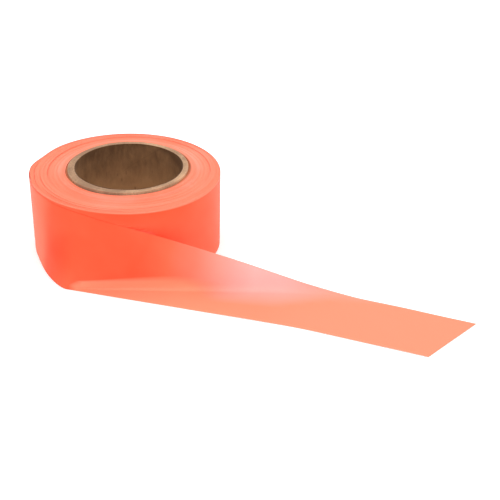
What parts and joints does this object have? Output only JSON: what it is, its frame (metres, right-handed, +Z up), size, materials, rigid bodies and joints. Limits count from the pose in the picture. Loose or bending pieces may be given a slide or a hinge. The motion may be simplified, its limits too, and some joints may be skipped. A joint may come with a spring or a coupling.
{
  "type": "flagging tape roll",
  "caption": "Roll of fluorescent orange flagging tape on a spiral-wound cardboard core, standing on its side face with its loose end peeled off and laid out flat.",
  "frame": {"origin": "the core's axis, at the plane that the roll stands on", "axes": "+Z up the core's axis, +X along the loose end as it lies, +Y away from the side where the tape peels off"},
  "size_m": [0.1826, 0.0806, 0.032],
  "materials": {
    "liner_paper": "matt smooth paper in the bore, with a spiral seam",
    "core_board": "matt cut board edge",
    "kraft_paper": "matt brown kraft paper",
    "adhesive": "dull adhesive strip",
    "wound_tape": "satin fluorescent film edges, tightly wound",
    "loose_tape": "satin fluorescent film",
    "free_tape": "satin translucent fluorescent film, one layer"
  },
  "bodies": {
    "roll": {"core_liner": "liner_paper", "core_ply_1": "core_board", "core_ply_2": "core_board", "core_ply_3": "core_board", "core_ply_4": "core_board", "core_kraft_wrap": "kraft_paper", "starter_strip": "adhesive", "wound_band_1": "wound_tape", "wound_band_2": "wound_tape", "wound_band_3": "wound_tape", "wound_band_4": "wound_tape", "wound_band_5": "wound_tape"},
    "last_turns": {"loose_turns_1": "loose_tape", "loose_turns_2": "loose_tape", "loose_turns_3": "loose_tape", "peeling_turn": "free_tape"},
    "tail_root": {"tail_twist": "free_tape"},
    "tail_middle": {"tail_flat": "free_tape"},
    "tail_end": {"tail_tip": "free_tape"}
  },
  "joints": [
    {"name": "unwind", "type": "hinge", "parent": "roll", "child": "last_turns", "pos_m": [0, 0, 0], "axis": [0, 0, 1], "continuous": true},
    {"name": "peel", "type": "hinge", "parent": "last_turns", "child": "tail_root", "pos_m": [-0.00349, -0.04647, 0.00015], "axis": [-0.1096, -0.2327, -0.9664], "range_deg": [0, 60]},
    {"name": "lift", "type": "hinge", "parent": "tail_root", "child": "tail_middle", "pos_m": [0.10212, -0.02185, 0.0003], "axis": [0, -1, 0], "range_deg": [0, 75]},
    {"name": "curl", "type": "hinge", "parent": "tail_middle", "child": "tail_end", "pos_m": [0.12012, -0.02185, 0.0003], "axis": [0, -1, 0], "range_deg": [0, 90]}
  ]
}
